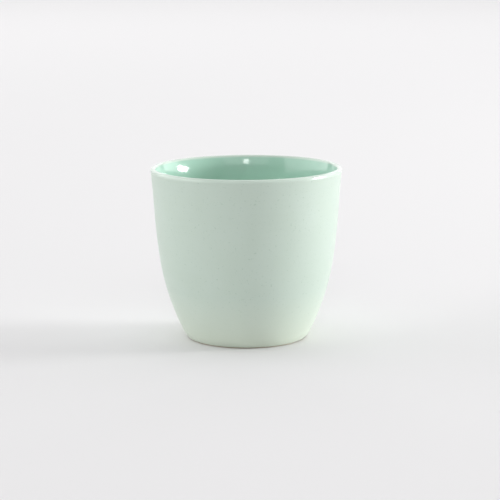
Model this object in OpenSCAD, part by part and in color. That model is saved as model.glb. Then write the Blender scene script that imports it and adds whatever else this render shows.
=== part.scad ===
// Footed porcelain pot that holds writing brushes: one fired clay body under three coats of glaze.
// Each coat is a solid of its own and lies face to face on the clay.
// The pot stands on z = 0, turned about the z axis.

/* [Overall size] */
// Diameter across the mouth, over the glaze
mouth_d = 90; // [80:1:120]
// Height from the table to the top of the lip
pot_h = 81; // [70:1:100]

/* [Wall and floor] */
// Thickness of the rounded lip, over the glaze
lip_t = 2.4; // [2:0.1:3]
// Thickness of every coat of glaze
glaze_t = 0.45; // [0.3:0.05:0.6]
// Height of the inside floor above the table, over the glaze
floor_h = 6; // [5.5:0.5:8]

/* [Outside: how far the wall leans from upright, opening outward as it rises] */
// Lean at the lip, where the wall flares
lip_lean = 6; // [5:0.5:8]
// Lean at the neck, where the wall is steepest
neck_lean = 3.5; // [2:0.5:4.5]
// Lean at the belly
belly_lean = 8; // [6:0.5:10]
// Lean at the hip, where the wall has run in to the foot
hip_lean = 26; // [22:1:30]
// Lean at the heel, where the outer glaze stops
heel_lean = 45; // [40:1:50]

/* [Inside: how far the wall leans from upright] */
// Lean just under the lip, where the inside flares out to it
inner_lip_lean = 20; // [16:1:24]
// Lean at the throat, where the flare ends
throat_lean = 6.5; // [6.5:0.5:8]
// Depth of the throat below the top of the lip
throat_depth = 8; // [6:0.5:10]
// Lean at the neck
inner_neck_lean = 4; // [3.5:0.5:6]
// Lean at the belly
inner_belly_lean = 8.5; // [8:0.5:10]
// Lean at the hip, where the wall starts to turn into the floor
inner_hip_lean = 21; // [18:1:24]

/* [Foot] */
// Height of the bare clay between the table and the outer glaze
bare_h = 0.6; // [0.5:0.1:1.2]
// How far the side of the foot stands in from the edge of the outer glaze
foot_step = 1; // [0.8:0.1:1.4]
// Width of the foot ring
foot_w = 4.5; // [4:0.5:6]
// Radius on both edges of the foot ring
foot_round = 0.3; // [0.2:0.05:0.4]
// Depth of the recess inside the foot ring
recess_h = 1.8; // [1.4:0.1:2]
// Width of the bare clay round the glaze in the recess
recess_bare = 1.2; // [1:0.1:3]

/* [Hidden] */
$fn = 180;

arc_steps = 8;                          // straight steps that draw each arc
crest_r = mouth_d / 2 - lip_t / 2;      // the top of the lip
neck_z = 0.77 * pot_h;
belly_z = 0.48 * pot_h;
hip_z = 0.05 * pot_h;
inner_hip_z = 0.22 * pot_h;

// The two faces of the wall as stations [height, lean], from the crest of the lip down.
// Between two stations the section is one arc, and the arcs meet without a kink.
// A lean of -90 faces up, 0 faces away from the axis, and 90 faces down.
OUTSIDE = [[pot_h, -90], [lip_end_z(1, lip_lean), lip_lean], [neck_z, neck_lean], [belly_z, belly_lean],
           [hip_z, hip_lean], [bare_h, heel_lean]];
INSIDE = [[pot_h, 90], [lip_end_z(-1, inner_lip_lean), inner_lip_lean],
          [pot_h - throat_depth, throat_lean], [neck_z, inner_neck_lean],
          [belly_z, inner_belly_lean], [inner_hip_z, inner_hip_lean], [floor_h, 90]];
LIP_OUTSIDE = [OUTSIDE[0], OUTSIDE[1]];

foot_r = station_r(OUTSIDE, len(OUTSIDE) - 1) - foot_step;
recess_r = foot_r - foot_w;

function flip(list) = [for (i = [len(list) - 1 : -1 : 0]) list[i]];
function without_first(list) = [for (i = [1 : len(list) - 1]) list[i]];

// Height at which the round of the lip runs into a wall with this lean: side is 1 outside and -1 inside
function lip_end_z(side, lean) = pot_h - lip_t / 2 * (1 + side * sin(lean));

// The direction square to a wall with this lean, away from the axis
function away(lean) = [cos(lean), -sin(lean)];

// Radius of the arc from station a down to station b: negative where the wall flares
function arc_r(a, b) = (a[0] - b[0]) / (sin(b[1]) - sin(a[1]));

// Distance of station i from the axis
function station_r(stations, i) =
    i == 0 ? crest_r
           : let (a = stations[i - 1], b = stations[i])
             station_r(stations, i - 1) - arc_r(a, b) * (cos(a[1]) - cos(b[1]));

// Points of the arc after station a, down to station b, pushed square to the wall
function arc(a, b, a_r, push = 0) =
    let (r = arc_r(a, b), centre = [a_r, a[0]] - r * away(a[1]))
    [for (i = [1 : arc_steps])
        centre + (r + push) * away(a[1] + (b[1] - a[1]) * i / arc_steps)];

// Points of a whole face, from the crest of the lip down
function face(stations, push = 0) =
    concat([[crest_r, pot_h] + push * away(stations[0][1])],
           [for (i = [1 : len(stations) - 1])
               each arc(stations[i - 1], stations[i], station_r(stations, i - 1), push)]);

// Points of the foot ring, from its side under, across and up into the recess
function foot() =
    concat([[foot_r, foot_round]],
           arc([foot_round, 0], [0, 90], foot_r),
           flip(arc([foot_round, 0], [0, -90], recess_r)),
           [[recess_r, foot_round], [recess_r, recess_h], [0, recess_h]]);

module turned(outline) {
    rotate_extrude() polygon(outline);
}

// Porcelain: wall, floor and foot ring fired in one piece, bare only at the foot
module clay_body() {
    color("antiquewhite")
    turned(concat(face(OUTSIDE, -glaze_t), foot(), [[0, floor_h - glaze_t]],
                  flip(without_first(face(INSIDE, glaze_t)))));
}

// Satin coat outside, from under the lip down to the heel
module outer_glaze() {
    color([0.73, 0.82, 0.76])
    turned(concat(below_lip(face(OUTSIDE)), flip(below_lip(face(OUTSIDE, -glaze_t)))));
}

// Gloss coat on the floor and up the inside, over the lip to the top edge of the outer coat
module liner_glaze() {
    color([0.56, 0.73, 0.65])
    turned(concat([[0, floor_h]], flip(face(INSIDE)), without_first(face(LIP_OUTSIDE)),
                  flip(face(LIP_OUTSIDE, -glaze_t)), without_first(face(INSIDE, glaze_t)),
                  [[0, floor_h - glaze_t]]));
}

// Gloss coat on the underside, inside the foot ring
module recess_glaze() {
    color([0.62, 0.77, 0.70])
    translate([0, 0, recess_h - glaze_t])
    cylinder(h = glaze_t, r = recess_r - recess_bare);
}

// The part of a face's points below the round of the lip
function below_lip(points) = [for (i = [arc_steps : len(points) - 1]) points[i]];

clay_body();
outer_glaze();
liner_glaze();
recess_glaze();
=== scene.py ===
import math
import bmesh
import bpy
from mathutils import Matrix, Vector


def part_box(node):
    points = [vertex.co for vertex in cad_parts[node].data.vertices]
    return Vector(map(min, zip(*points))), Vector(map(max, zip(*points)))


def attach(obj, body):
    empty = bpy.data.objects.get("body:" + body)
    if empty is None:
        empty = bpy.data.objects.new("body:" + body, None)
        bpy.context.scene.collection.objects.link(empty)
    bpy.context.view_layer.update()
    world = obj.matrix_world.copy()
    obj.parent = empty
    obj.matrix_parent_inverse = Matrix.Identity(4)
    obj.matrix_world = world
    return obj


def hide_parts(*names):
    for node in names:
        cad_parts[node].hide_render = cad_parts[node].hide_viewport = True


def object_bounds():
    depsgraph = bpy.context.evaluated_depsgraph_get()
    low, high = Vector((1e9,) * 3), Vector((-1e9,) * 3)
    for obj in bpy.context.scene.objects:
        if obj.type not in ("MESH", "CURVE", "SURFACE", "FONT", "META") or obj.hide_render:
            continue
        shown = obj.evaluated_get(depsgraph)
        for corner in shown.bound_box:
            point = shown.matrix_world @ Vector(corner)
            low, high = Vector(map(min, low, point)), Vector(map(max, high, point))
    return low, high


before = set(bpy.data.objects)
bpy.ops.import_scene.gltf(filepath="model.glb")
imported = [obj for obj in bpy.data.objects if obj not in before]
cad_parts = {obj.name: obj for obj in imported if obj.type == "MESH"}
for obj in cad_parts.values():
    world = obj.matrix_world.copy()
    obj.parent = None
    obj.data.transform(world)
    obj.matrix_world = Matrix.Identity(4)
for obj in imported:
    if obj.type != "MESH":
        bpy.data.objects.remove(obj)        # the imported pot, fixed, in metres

cadLow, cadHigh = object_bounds()
mm = 0.001

linerLow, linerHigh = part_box("liner_glaze")
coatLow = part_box("outer_glaze")[0]
recessLow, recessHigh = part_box("recess_glaze")

potShape = {        # leans are degrees from upright, an At is a share of the height, the rest millimetres
    "lipThickness": 2.4, "lipLean": 6,
    "neckLean": 3.5, "neckAt": 0.77,
    "bellyLean": 8, "bellyAt": 0.48,
    "hipLean": 26, "hipAt": 0.05,
    "heelLean": 45,
    "innerLipLean": 20,        # inside, the mouth opens out like a shallow funnel
    "throatLean": 6.5, "throatDepth": 8,        # and the funnel ends this far below the crest
    "innerNeckLean": 4,
    "innerBellyLean": 8.5,
    "innerHipLean": 21, "innerHipAt": 0.22,
    "footStep": 1,        # how far the foot's side stands in from the glaze's edge
    "footWidth": 4.5,
    "footRound": 0.3,
    "skin": 0.06,        # how far the satin coat lies inside the solid that it stands for
    "handRoom": 0.09,        # left free inside the solid for the hand work
}

potSize = {        # driving sizes, read from the frame, in millimetres
    "mouthRadius": linerHigh.x / mm - potShape["handRoom"],
    "height": linerHigh.z / mm,
    "glaze": (recessHigh.z - recessLow.z) / mm,
    "floor": (linerLow.z + recessHigh.z - recessLow.z) / mm,
    "bare": coatLow.z / mm,
    "recessDepth": recessHigh.z / mm,
    "recessGlazeRadius": recessHigh.x / mm,
}

lathe = {        # how finely the pieces are turned
    "around": 256,
    "fineStep": 0.6,        # millimetres along a face that shows
    "coarseStep": 2.5,        # and along one that another piece hides
    "fewest": 8,        # steps in an arc, however short
    "endSteps": 9,        # steps round the rolled edge of a coat
    "weld": 0.002,        # points nearer than this, in millimetres, become one
    "crease": 60,        # degrees between faces that stay a sharp edge
}


# Sections are lists of (distance from the axis, height) in millimetres.

def away(lean):        # square to a wall with this lean, away from the axis
    return Vector((math.cos(math.radians(lean)), -math.sin(math.radians(lean))))


def arcRadius(a, b):        # of the arc between two stations, negative where the wall flares
    return (a[0] - b[0]) / (math.sin(math.radians(b[1])) - math.sin(math.radians(a[1])))


def faceLine(stations, step):        # (point, lean) pairs from the crest of the lip down
    line = [(Vector((lipCentre.x, stations[0][0])), stations[0][1])]
    for a, b in zip(stations, stations[1:]):
        bend = arcRadius(a, b)
        centre = line[-1][0] - bend * away(a[1])
        count = max(lathe["fewest"], math.ceil(abs(bend * math.radians(b[1] - a[1])) / step))
        for i in range(1, count + 1):
            lean = a[1] + (b[1] - a[1]) * i / count
            line.append((centre + bend * away(lean), lean))
    return line


def belowLip(stations, step):        # the same without the round of the lip
    lipFoot = stations[1][0] + lathe["weld"]
    return [(point, lean) for point, lean in faceLine(stations, step) if point.y < lipFoot]


def pushed(line, howFar):        # the face moved square to the wall, by millimetres or by a rule of height
    rule = howFar if callable(howFar) else lambda z: howFar
    return [point + rule(point.y) * away(lean) for point, lean in line]


def roundEnd(centre, radius, fromLean, toLean):        # a rounded corner, or the rolled edge of a coat
    count = lathe["endSteps"]
    return [centre + radius * away(fromLean + (toLean - fromLean) * i / count) for i in range(count + 1)]


unevenRings = {        # a second set of rings under the first keeps them from being even
    "share": 0.5, "slower": 1.7, "shift": 1,
}


def ripple(z, height, pitch):        # rings that fingers and turning tools leave
    first = math.sin(2 * math.pi * z / pitch)
    second = math.sin(2 * math.pi * z / (unevenRings["slower"] * pitch) + unevenRings["shift"])
    return height * (first + unevenRings["share"] * second)


def fade(value, start, end):        # 0 at start, 1 at end, smooth between
    t = max(0, min(1, (value - start) / (end - start)))
    return t * t * (3 - 2 * t)


tall = potSize["height"]
lipRadius = potShape["lipThickness"] / 2
lipCentre = Vector((potSize["mouthRadius"] - lipRadius, tall - lipRadius))


def lipEnd(side, lean):        # where the round of the lip runs into the wall: side 1 outside, -1 inside
    return lipCentre.y - side * lipRadius * math.sin(math.radians(lean))


outsideStations = [
    (tall, -90),
    (lipEnd(1, potShape["lipLean"]), potShape["lipLean"]),
    (potShape["neckAt"] * tall, potShape["neckLean"]),
    (potShape["bellyAt"] * tall, potShape["bellyLean"]),
    (potShape["hipAt"] * tall, potShape["hipLean"]),
    (potSize["bare"], potShape["heelLean"]),
]
insideStations = [
    (tall, 90),
    (lipEnd(-1, potShape["innerLipLean"]), potShape["innerLipLean"]),
    (tall - potShape["throatDepth"], potShape["throatLean"]),
    (potShape["neckAt"] * tall, potShape["innerNeckLean"]),
    (potShape["bellyAt"] * tall, potShape["innerBellyLean"]),
    (potShape["innerHipAt"] * tall, potShape["innerHipLean"]),
    (potSize["floor"], 90),
]
heelPoint = faceLine(outsideStations, lathe["coarseStep"])[-1][0]
footRadius = heelPoint.x - potShape["footStep"]
ringRadius = footRadius - potShape["footWidth"]


def deselectAll():
    for thing in bpy.context.selected_objects:
        thing.select_set(False)


def turnPiece(name, outline, joined):        # draws a section point by point and spins it into a closed skin
    deselectAll()
    bpy.ops.mesh.primitive_plane_add(size=mm, location=(outline[0].x * mm, 0, outline[0].y * mm))
    piece = bpy.context.object
    piece.name = piece.data.name = name
    bpy.ops.object.transform_apply(location=True, rotation=True, scale=True)
    bpy.ops.object.mode_set(mode="EDIT")
    bpy.ops.mesh.select_all(action="SELECT")
    bpy.ops.mesh.merge(type="CENTER")
    for here, there in zip(outline, outline[1:]):
        move = (there - here) * mm
        bpy.ops.mesh.extrude_vertices_move(TRANSFORM_OT_translate={"value": (move.x, 0, move.y)})
    if joined:        # a section that doesn't reach the axis is a loop
        section = bmesh.from_edit_mesh(piece.data)
        section.verts.ensure_lookup_table()
        section.verts[0].select = section.verts[-1].select = True
        bmesh.update_edit_mesh(piece.data)
        bpy.ops.mesh.edge_face_add()
    bpy.ops.mesh.select_all(action="SELECT")
    bpy.ops.mesh.spin(steps=lathe["around"], angle=2 * math.pi, center=(0, 0, 0), axis=(0, 0, 1))
    bpy.ops.mesh.select_all(action="SELECT")
    bpy.ops.mesh.remove_doubles(threshold=lathe["weld"] * mm)
    bpy.ops.mesh.normals_make_consistent(inside=False)
    bpy.ops.object.mode_set(mode="OBJECT")
    bpy.ops.object.shade_smooth_by_angle(angle=math.radians(lathe["crease"]))
    return piece


def weigh(piece, name, weightAt):        # a vertex group by distance from the axis and height
    group = piece.vertex_groups.new(name=name)
    for vertex in piece.data.vertices:
        weight = weightAt(math.hypot(vertex.co.x, vertex.co.y) / mm, vertex.co.z / mm)
        if weight > 0:
            group.add([vertex.index], min(1, weight), "REPLACE")


def cloud(name, size):        # soft lumps of this size in millimetres
    texture = bpy.data.textures.new(name, "CLOUDS")
    texture.noise_scale = size * mm
    texture.noise_depth = 1
    return texture


def displace(piece, texture, direction, amount, group):        # amount in millimetres, to either side
    modifier = piece.modifiers.new("displace" + direction, "DISPLACE")
    modifier.texture = texture
    modifier.texture_coords = "LOCAL"
    modifier.direction = direction
    modifier.strength = 2 * amount * mm
    modifier.vertex_group = group
    deselectAll()
    piece.select_set(True)
    bpy.context.view_layer.objects.active = piece
    bpy.ops.object.modifier_apply(modifier=modifier.name)


handLook = {        # how far the potter's hands leave the pot from a true round, in millimetres
    "amount": 0.08,
    "sizeX": 45, "sizeY": 52,        # of the soft lumps, sideways and front to back
    "from": 3, "full": 25,        # heights: none at the foot, which stands flat, all of it from here up
}
handX = cloud("handX", handLook["sizeX"])
handY = cloud("handY", handLook["sizeY"])


def handWork(piece):
    weigh(piece, "aboveFoot", lambda r, z: fade(z, handLook["from"], handLook["full"]))
    displace(piece, handX, "X", handLook["amount"], "aboveFoot")
    displace(piece, handY, "Y", handLook["amount"], "aboveFoot")


clayLook = {        # millimetres
    "groove": 0.03, "groovePitch": 1.5,        # rings that the trimming tool leaves under the foot
    "grooveSteps": 24,
    "recessFillet": 0.7,        # round the corner between the foot ring and the recess
    "sideTop": 0.85,        # the foot's side runs up behind the glaze to here
}


def makeClayBody():
    glaze = potSize["glaze"]
    innerFace = pushed(faceLine(insideStations, lathe["coarseStep"]), glaze)
    outerFace = pushed(faceLine(outsideStations, lathe["coarseStep"]), -glaze)
    edge = potShape["footRound"]
    foot = [Vector((footRadius, clayLook["sideTop"]))]
    foot += roundEnd(Vector((footRadius - edge, edge)), edge, 0, 90)
    width = potShape["footWidth"] - 2 * edge
    for i in range(1, clayLook["grooveSteps"]):
        share = i / clayLook["grooveSteps"]
        wave = (1 - math.cos(2 * math.pi * share * width / clayLook["groovePitch"])) / 2
        depth = clayLook["groove"] * wave * math.sin(math.pi * share)
        foot.append(Vector((footRadius - edge - width * share, depth)))
    foot += roundEnd(Vector((ringRadius + edge, edge)), edge, 90, 180)
    fillet = clayLook["recessFillet"]
    foot += roundEnd(Vector((ringRadius - fillet, potSize["recessDepth"] - fillet)), fillet, 0, -90)
    outline = ([Vector((0, potSize["floor"] - glaze))] + innerFace[::-1] + outerFace[1:] + foot
               + [Vector((0, potSize["recessDepth"]))])
    piece = turnPiece("clayBody", outline, False)
    handWork(piece)
    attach(piece, "root")
    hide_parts("clay_body")
    return piece


coatLook = {        # millimetres, and leans in degrees
    "ring": 0.010, "ringPitch": 3.4,        # rings left by the turning tool
    "roll": 0.04, "rollLength": 2.2,        # the coat thickens towards its lower edge
    "tuck": -22, "tuckThickness": 0.12,        # its top thins out under the liner, this far round the lip
    "edgeThinner": 0.03, "edgeOut": 0.01,        # the rolled edge against the coat above it
    "edgeTurn": 165,        # and how far it rolls under
    "waver": 0.08, "waverSize": 9,        # how far the lower edge wanders up and down
    "waverFull": 1, "waverEnd": 4,        # heights between which the wander dies out
}


def makeOuterGlaze():
    glaze, skin = potSize["glaze"], potShape["skin"]

    def thickness(z):
        roll = coatLook["roll"] * math.exp(-((z - potSize["bare"]) / coatLook["rollLength"]) ** 2)
        return -skin + roll + ripple(z, coatLook["ring"], coatLook["ringPitch"])

    tuck = away(coatLook["tuck"])
    under = lipRadius - glaze
    top = [lipCentre + under * tuck, lipCentre + (under + coatLook["tuckThickness"]) * tuck]
    shown = pushed(belowLip(outsideStations, lathe["fineStep"]), thickness)
    hidden = pushed(belowLip(outsideStations, lathe["coarseStep"]), -glaze)
    bead = (glaze - coatLook["edgeThinner"]) / 2
    heelLean = potShape["heelLean"]
    edge = heelPoint + (coatLook["edgeOut"] - skin + coatLook["roll"] - bead) * away(heelLean)
    rolled = roundEnd(edge, bead, heelLean, heelLean + coatLook["edgeTurn"])
    piece = turnPiece("outerGlaze", top + shown + rolled[1:] + hidden[::-1], True)
    weigh(piece, "lowerEdge", lambda r, z: 1 - fade(z, coatLook["waverFull"], coatLook["waverEnd"]))
    displace(piece, cloud("edgeWaver", coatLook["waverSize"]), "Z", coatLook["waver"], "lowerEdge")
    handWork(piece)
    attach(piece, "root")
    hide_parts("outer_glaze")
    return piece


linerLook = {        # millimetres, and leans in degrees
    "ring": 0.022, "ringPitch": 5.2,        # finger rings, a little stronger inside
    "ringsFrom": 8, "ringsFull": 16,        # heights: they come in above the floor
    "ringsFade": 74, "ringsEnd": 79,        # and die out towards the lip
    "edgeLean": 5,        # how far round the lip the gloss comes down outside
    "pullLean": -40, "pull": 0.05,        # from this lean the coat thins by this towards its edge
    "lipStart": -84, "lipStep": 6,        # the round of the lip, drawn from the crest outwards
    "edgeGap": 8,        # left between it and the bead
    "bead": 0.2, "beadOut": -0.01,        # radius of the rolled edge, and how far it stands out
    "beadFrom": -20, "beadTo": 150,        # its turn, against the lean at the edge
    "hiddenStep": 12,        # the side against the clay is drawn coarsely
    "waver": 0.10, "waverSize": 7,        # how far the edge wanders up and down
    "waverFrom": 0.6, "waverFull": 1.05,        # outwards from the middle of the lip
}


def makeLinerGlaze():
    glaze = potSize["glaze"]

    def surface(z):        # the rings on the wall between floor and lip
        come = fade(z, linerLook["ringsFrom"], linerLook["ringsFull"])
        go = 1 - fade(z, linerLook["ringsFade"], linerLook["ringsEnd"])
        return ripple(z, linerLook["ring"], linerLook["ringPitch"]) * come * go

    shown = pushed(faceLine(insideStations, lathe["fineStep"]), surface)
    hidden = pushed(faceLine(insideStations, lathe["coarseStep"]), glaze)
    edgeLean, bead = linerLook["edgeLean"], linerLook["bead"]
    over = [lipCentre + (lipRadius - linerLook["pull"] * fade(lean, linerLook["pullLean"], 0)) * away(lean)
            for lean in range(linerLook["lipStart"], edgeLean - linerLook["edgeGap"], linerLook["lipStep"])]
    edge = lipCentre + (lipRadius + linerLook["beadOut"] - bead) * away(edgeLean)
    over += roundEnd(edge, bead, edgeLean + linerLook["beadFrom"], edgeLean + linerLook["beadTo"])
    under = [lipCentre + (lipRadius - glaze) * away(-lean)
             for lean in range(0, 1 - linerLook["lipStart"], linerLook["hiddenStep"])]
    outline = [Vector((0, potSize["floor"]))] + shown[::-1] + over + under + hidden
    outline.append(Vector((0, potSize["floor"] - glaze)))
    piece = turnPiece("linerGlaze", outline, False)
    outFrom = lipCentre.x + linerLook["waverFrom"]
    outFull = lipCentre.x + linerLook["waverFull"]
    weigh(piece, "outerEdge", lambda r, z: fade(r, outFrom, outFull))
    displace(piece, cloud("lipWaver", linerLook["waverSize"]), "Z", linerLook["waver"], "outerEdge")
    handWork(piece)
    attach(piece, "root")
    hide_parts("liner_glaze")
    return piece


recessLook = {        # millimetres
    "thinner": 0.1,        # than the other coats
    "bead": 0.2, "beadTo": -80,        # radius of its rolled rim, and the lean where the roll ends
    "inset": 0.4,        # room for the wander of the rim
    "ripple": 0.05, "pitch": 2.6,        # the trimming rings show through
    "ringCount": 40, "calm": 3,        # points from the middle to the rim, and those without rings
    "waver": 0.35, "waverX": 11, "waverY": 13,        # how far the rim wanders, in lumps of these sizes
    "waverWidth": 3,
}


def makeRecessGlaze():
    top = potSize["recessDepth"]
    face = top - potSize["glaze"] + recessLook["thinner"]
    bead = recessLook["bead"]
    reach = potSize["recessGlazeRadius"] - bead - recessLook["inset"]
    under = []
    for i in range(recessLook["ringCount"]):
        x = reach * i / recessLook["ringCount"]
        dip = recessLook["ripple"] * math.sin(2 * math.pi * x / recessLook["pitch"])
        dip *= fade(i, 0, recessLook["calm"])
        under.append(Vector((x, face + dip)))
    edge = roundEnd(Vector((reach, face + bead)), bead, 90, recessLook["beadTo"])
    piece = turnPiece("recessGlaze", under + edge + [Vector((0, top))], False)
    weigh(piece, "rim", lambda r, z: fade(r, reach - recessLook["waverWidth"], reach))
    displace(piece, cloud("poolX", recessLook["waverX"]), "X", recessLook["waver"], "rim")
    displace(piece, cloud("poolY", recessLook["waverY"]), "Y", recessLook["waver"], "rim")
    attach(piece, "root")
    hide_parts("recess_glaze")
    return piece


clayBody = makeClayBody()
outerGlaze = makeOuterGlaze()
linerGlaze = makeLinerGlaze()
recessGlaze = makeRecessGlaze()
pieces = [clayBody, outerGlaze, linerGlaze, recessGlaze]
print("pieces turned:", [(piece.name, len(piece.data.polygons)) for piece in pieces])


def linear(hexColour):        # sRGB hex to the linear colour that Blender mixes
    parts = [int(hexColour[i:i + 2], 16) / 255 for i in (1, 3, 5)]
    return [c / 12.92 if c <= 0.04045 else ((c + 0.055) / 1.055) ** 2.4 for c in parts] + [1]


def addNode(material, kind, settings=None, inputs=None):        # a given socket is linked, the rest is set
    node = material.node_tree.nodes.new(kind)
    for name, value in (settings or {}).items():
        setattr(node, name, value)
    for name, value in (inputs or {}).items():
        if isinstance(value, bpy.types.NodeSocket):
            material.node_tree.links.new(value, node.inputs[name])
        else:
            node.inputs[name].default_value = value
    return node


def newMaterial(name):
    material = bpy.data.materials.new(name)
    material.use_nodes = True
    material.node_tree.nodes.clear()
    return material


def perMetre(size):        # texture scale for a feature of this size in millimetres
    return 1 / (size * mm)


satinLook = {        # celadon with a satin matt surface: pale mint, a soft broad sheen, no sharp reflection
    "body": "#C1D1C4", "thin": "#C6D5CB",        # cloudy by how thick the coat went on
    "low": "#D3DDCE", "bounceFrom": 26, "bounceTo": 1,        # paler and warmer towards the foot: painted light bounced up from the white floor, heights in millimetres
    "speck": "#B2C6B8",
    "roughness": 0.36,
    "cloudSize": 14,
    "speckSize": 0.9,        # fine crystals in the satin glaze, drawn larger than the real 0.1 mm
    "grainSize": 0.5,        # the real grain is 0.05 mm, too fine to show
}


def satinCeladon():
    material = newMaterial("satinCeladon")
    place = addNode(material, "ShaderNodeTexCoord").outputs["Object"]
    height = addNode(material, "ShaderNodeSeparateXYZ", None, {0: place}).outputs[2]
    clouds = addNode(material, "ShaderNodeTexNoise", None,
                     {"Vector": place, "Scale": perMetre(satinLook["cloudSize"]), "Detail": 3.0})
    coat = addNode(material, "ShaderNodeMix", {"data_type": "RGBA"},
                   {0: clouds.outputs[0], 6: linear(satinLook["body"]), 7: linear(satinLook["thin"])})
    crystals = addNode(material, "ShaderNodeTexNoise", None,
                       {"Vector": place, "Scale": perMetre(satinLook["speckSize"]), "Detail": 1.0})
    specks = addNode(material, "ShaderNodeMapRange", {"interpolation_type": "SMOOTHSTEP"},
                     {"Value": crystals.outputs[0], "From Min": 0.62, "From Max": 0.85})
    speckled = addNode(material, "ShaderNodeMix", {"data_type": "RGBA"},
                       {0: specks.outputs[0], 6: coat.outputs[2], 7: linear(satinLook["speck"])})
    # painted floor bounce: the coat turns paler and warmer towards the foot
    low = addNode(material, "ShaderNodeMapRange", None,
                  {"Value": height, "From Min": satinLook["bounceFrom"] * mm,
                   "From Max": satinLook["bounceTo"] * mm})
    colour = addNode(material, "ShaderNodeMix", {"data_type": "RGBA"},
                     {0: low.outputs[0], 6: speckled.outputs[2], 7: linear(satinLook["low"])})
    grain = addNode(material, "ShaderNodeTexNoise", None,
                    {"Vector": place, "Scale": perMetre(satinLook["grainSize"]), "Detail": 2.0})
    bump = addNode(material, "ShaderNodeBump", None,
                   {"Height": grain.outputs[0], "Strength": 0.12, "Distance": 0.02 * mm})
    shader = addNode(material, "ShaderNodeBsdfPrincipled", None,
                     {"Base Color": colour.outputs[2], "Roughness": satinLook["roughness"], "IOR": 1.5,
                      "Normal": bump.outputs[0]})
    addNode(material, "ShaderNodeOutputMaterial", None, {"Surface": shader.outputs[0]})
    return material


glossLook = {        # the same celadon melted to a clear gloss: wet looking, greener where it is thick
    "body": "#BBDDCD", "pool": "#A6CFBC", "thin": "#CEDDD2",
    "thinFrom": 1.3, "thinTo": 0.5,        # below the crest of the lip, where white clay shows through
    "outsideFrom": -0.1, "outsideTo": 0.4,        # and from the middle of the lip outwards
    "floorPool": "#93C4A9", "poolFrom": 22, "poolTo": 7,        # heights where it runs together
    "roughness": 0.12,
    "cloudSize": 20,
    "waveSize": 9, "wave": 0.03,        # its surface rolls in long soft waves, in millimetres
}


def glossCeladon():
    material = newMaterial("glossCeladon")
    place = addNode(material, "ShaderNodeTexCoord").outputs["Object"]
    height = addNode(material, "ShaderNodeSeparateXYZ", None, {0: place}).outputs[2]
    clouds = addNode(material, "ShaderNodeTexNoise", None,
                     {"Vector": place, "Scale": perMetre(glossLook["cloudSize"]), "Detail": 3.0})
    coat = addNode(material, "ShaderNodeMix", {"data_type": "RGBA"},
                   {0: clouds.outputs[0], 6: linear(glossLook["body"]), 7: linear(glossLook["pool"])})
    pool = addNode(material, "ShaderNodeMapRange", {"interpolation_type": "SMOOTHSTEP"},
                   {"Value": height, "From Min": glossLook["poolFrom"] * mm,
                    "From Max": glossLook["poolTo"] * mm})
    pooled = addNode(material, "ShaderNodeMix", {"data_type": "RGBA"},
                     {0: pool.outputs[0], 6: coat.outputs[2], 7: linear(glossLook["floorPool"])})
    nearLip = addNode(material, "ShaderNodeMapRange", {"interpolation_type": "SMOOTHSTEP"},
                      {"Value": height, "From Min": (tall - glossLook["thinFrom"]) * mm,
                       "From Max": (tall - glossLook["thinTo"]) * mm})
    flat = addNode(material, "ShaderNodeVectorMath", {"operation": "MULTIPLY"}, {0: place, 1: (1, 1, 0)})
    radius = addNode(material, "ShaderNodeVectorMath", {"operation": "LENGTH"}, {0: flat.outputs[0]})
    outside = addNode(material, "ShaderNodeMapRange", {"interpolation_type": "SMOOTHSTEP"},
                      {"Value": radius.outputs["Value"],
                       "From Min": (lipCentre.x + glossLook["outsideFrom"]) * mm,
                       "From Max": (lipCentre.x + glossLook["outsideTo"]) * mm})
    thinned = addNode(material, "ShaderNodeMath", {"operation": "MAXIMUM"},
                      {0: nearLip.outputs[0], 1: outside.outputs[0]})
    colour = addNode(material, "ShaderNodeMix", {"data_type": "RGBA"},
                     {0: thinned.outputs[0], 6: pooled.outputs[2], 7: linear(glossLook["thin"])})
    waves = addNode(material, "ShaderNodeTexNoise", None,
                    {"Vector": place, "Scale": perMetre(glossLook["waveSize"]), "Detail": 1.0})
    bump = addNode(material, "ShaderNodeBump", None,
                   {"Height": waves.outputs[0], "Strength": 1.0, "Distance": glossLook["wave"] * mm})
    shader = addNode(material, "ShaderNodeBsdfPrincipled", None,
                     {"Base Color": colour.outputs[2], "Roughness": glossLook["roughness"], "IOR": 1.52,
                      "Normal": bump.outputs[0]})
    addNode(material, "ShaderNodeOutputMaterial", None, {"Surface": shader.outputs[0]})
    return material


footLook = {        # the celadon brushed thinly under the foot: glossy, streaked in rings
    "body": "#B9D8C5", "thin": "#C9DFD0",
    "roughness": 0.09,
    "streak": 1.3,        # from one brush streak to the next, in millimetres
}


def footCeladon():
    material = newMaterial("footCeladon")
    place = addNode(material, "ShaderNodeTexCoord").outputs["Object"]
    ringScale = 2 * math.pi * perMetre(footLook["streak"]) / 20        # the node turns 20 radians a metre
    streaks = addNode(material, "ShaderNodeTexWave", {"wave_type": "RINGS", "rings_direction": "Z"},
                      {"Vector": place, "Scale": ringScale, "Distortion": 2.0, "Detail": 2.0,
                       "Detail Scale": 1.5})
    colour = addNode(material, "ShaderNodeMix", {"data_type": "RGBA"},
                     {0: streaks.outputs[1], 6: linear(footLook["body"]), 7: linear(footLook["thin"])})
    shader = addNode(material, "ShaderNodeBsdfPrincipled", None,
                     {"Base Color": colour.outputs[2], "Roughness": footLook["roughness"], "IOR": 1.52})
    addNode(material, "ShaderNodeOutputMaterial", None, {"Surface": shader.outputs[0]})
    return material


clayFinish = {        # porcelain fired bare: dry, cream, faintly sandy, toasted where it meets the glaze
    "body": "#EFE8D6", "grain": "#E2D8C1", "toast": "#D2BC9C",
    "roughness": 0.8,
    "grainSize": 0.6,        # real grains are 0.1 mm, too fine to show
    "toastFrom": 0.35, "toastTo": 0.85,        # heights in millimetres
}


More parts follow.
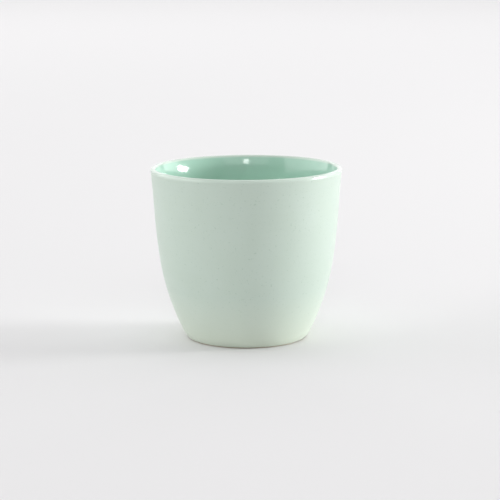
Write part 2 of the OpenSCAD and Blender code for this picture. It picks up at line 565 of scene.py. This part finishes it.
def barePorcelain():
    material = newMaterial("barePorcelain")
    place = addNode(material, "ShaderNodeTexCoord").outputs["Object"]
    height = addNode(material, "ShaderNodeSeparateXYZ", None, {0: place}).outputs[2]
    grain = addNode(material, "ShaderNodeTexNoise", None,
                    {"Vector": place, "Scale": perMetre(clayFinish["grainSize"]), "Detail": 4.0})
    clay = addNode(material, "ShaderNodeMix", {"data_type": "RGBA"},
                   {0: grain.outputs[0], 6: linear(clayFinish["body"]), 7: linear(clayFinish["grain"])})
    toast = addNode(material, "ShaderNodeMapRange", {"interpolation_type": "SMOOTHSTEP"},
                    {"Value": height, "From Min": clayFinish["toastFrom"] * mm,
                     "From Max": clayFinish["toastTo"] * mm})
    colour = addNode(material, "ShaderNodeMix", {"data_type": "RGBA"},
                     {0: toast.outputs[0], 6: clay.outputs[2], 7: linear(clayFinish["toast"])})
    bump = addNode(material, "ShaderNodeBump", None,
                   {"Height": grain.outputs[0], "Strength": 0.4, "Distance": 0.05 * mm})
    shader = addNode(material, "ShaderNodeBsdfPrincipled", None,
                     {"Base Color": colour.outputs[2], "Roughness": clayFinish["roughness"], "IOR": 1.5,
                      "Normal": bump.outputs[0]})
    addNode(material, "ShaderNodeOutputMaterial", None, {"Surface": shader.outputs[0]})
    return material


def dress(piece, material):
    piece.data.materials.clear()
    piece.data.materials.append(material)


dress(clayBody, barePorcelain())
dress(outerGlaze, satinCeladon())
dress(linerGlaze, glossCeladon())
dress(recessGlaze, footCeladon())
print("finishes on")


cameraPlace = {        # millimetres and degrees
    "distance": 912, "elevation": 10.29, "turn": -0.30,
    "lens": 138.92, "shiftX": 0.00668, "shiftY": 0.00362,
}


def makeCamera():
    camera = bpy.data.objects.new("camera", bpy.data.cameras.new("camera"))
    bpy.context.scene.collection.objects.link(camera)
    rise = math.radians(cameraPlace["elevation"])
    back = Vector((0, -math.cos(rise), math.sin(rise)))
    camera.location = Vector((0, 0, (cadLow.z + cadHigh.z) / 2)) + back * cameraPlace["distance"] * mm
    camera.rotation_euler = (math.pi / 2 - rise, 0, 0)
    camera.rotation_euler.rotate_axis("Z", math.radians(cameraPlace["turn"]))
    camera.data.sensor_width = 36
    camera.data.lens = cameraPlace["lens"]
    camera.data.shift_x = cameraPlace["shiftX"]
    camera.data.shift_y = cameraPlace["shiftY"]
    camera.data.clip_start = 0.02
    camera.data.clip_end = 50
    bpy.context.scene.camera = camera


floorLook = {        # a wide sheet of matt white paper
    "size": 24,        # metres
    "colour": "#E9E8E9",
}


def makeFloor():
    deselectAll()
    bpy.ops.mesh.primitive_plane_add(size=floorLook["size"], location=(0, 0, 0))
    floor = bpy.context.object
    floor.name = "floor"
    material = newMaterial("paleFloor")
    shader = addNode(material, "ShaderNodeBsdfPrincipled", None,
                     {"Base Color": linear(floorLook["colour"]), "Roughness": 1.0,
                      "Specular IOR Level": 0.0})
    addNode(material, "ShaderNodeOutputMaterial", None, {"Surface": shader.outputs[0]})
    dress(floor, material)


lamps = {        # name: place, size and aim in metres, watts
    # from the right, low, for the bright side and the sharp highlight inside, and a softer one behind it
    "key": {"at": (1.97, 0.17, 0.36), "size": (0.62, 0.40), "aim": (0, 0, 0.06), "watts": 32},
    "backRight": {"at": (2.6, 1.5, 0.9), "size": (1.6, 1.6), "aim": (0, 0, 0.06), "watts": 18},
    # the small round highlight in the middle of the back wall
    "frontSpot": {"at": (0, -1.82, 0.93), "size": (0.22, 0.24), "aim": (0, 0, 0.08), "watts": 2.2},
    # broad and weak, for the rest of the pot and an even floor
    "leftWall": {"at": (-3, 0.2, 1.2), "size": (5, 2.4), "aim": (0, 0, 1.1), "watts": 74},
    "frontCeiling": {"at": (0, -3, 2.2), "size": (4, 2), "aim": (0, 0, 0), "watts": 28},
    "ceiling": {"at": (0, 1.5, 1.5), "size": (4, 3), "aim": (0, 1.5, 0), "watts": 16.8},
    "farCeiling": {"at": (0, 3.4, 1.75), "size": (4, 3), "aim": (0, 3.4, 0), "watts": 25},
    "top": {"at": (0, 0, 1.24), "size": (0.6, 0.6), "aim": (0, 0, 0), "watts": 1.4},
    "backWall": {"at": (0, 6, 1.6), "size": (8, 3), "aim": (0, 0, 1.2), "watts": 77},
}
room = {
    "seen": 0.87,        # how bright the camera sees the room, past the floor
    "light": 0.26,        # what the room gives the pot from all round
}


def makeLamps():
    for name, lamp in lamps.items():
        data = bpy.data.lights.new(name, "AREA")
        data.shape = "RECTANGLE"
        data.size, data.size_y = lamp["size"]
        data.energy = lamp["watts"]
        light = bpy.data.objects.new(name, data)
        light.location = lamp["at"]
        light.rotation_euler = (Vector(lamp["aim"]) - light.location).to_track_quat("-Z", "Y").to_euler()
        light.visible_camera = False
        bpy.context.scene.collection.objects.link(light)


def makeRoom():
    world = bpy.data.worlds.new("studio")
    bpy.context.scene.world = world
    world.use_nodes = True
    background = world.node_tree.nodes["Background"]
    rays = addNode(world, "ShaderNodeLightPath")
    seen = addNode(world, "ShaderNodeMapRange", None,
                   {"Value": rays.outputs["Is Camera Ray"], "To Min": room["light"], "To Max": room["seen"]})
    world.node_tree.links.new(seen.outputs[0], background.inputs["Color"])


makeCamera()
makeFloor()
makeLamps()
makeRoom()
bpy.context.scene.view_settings.view_transform = "Standard"
print("studio lit")
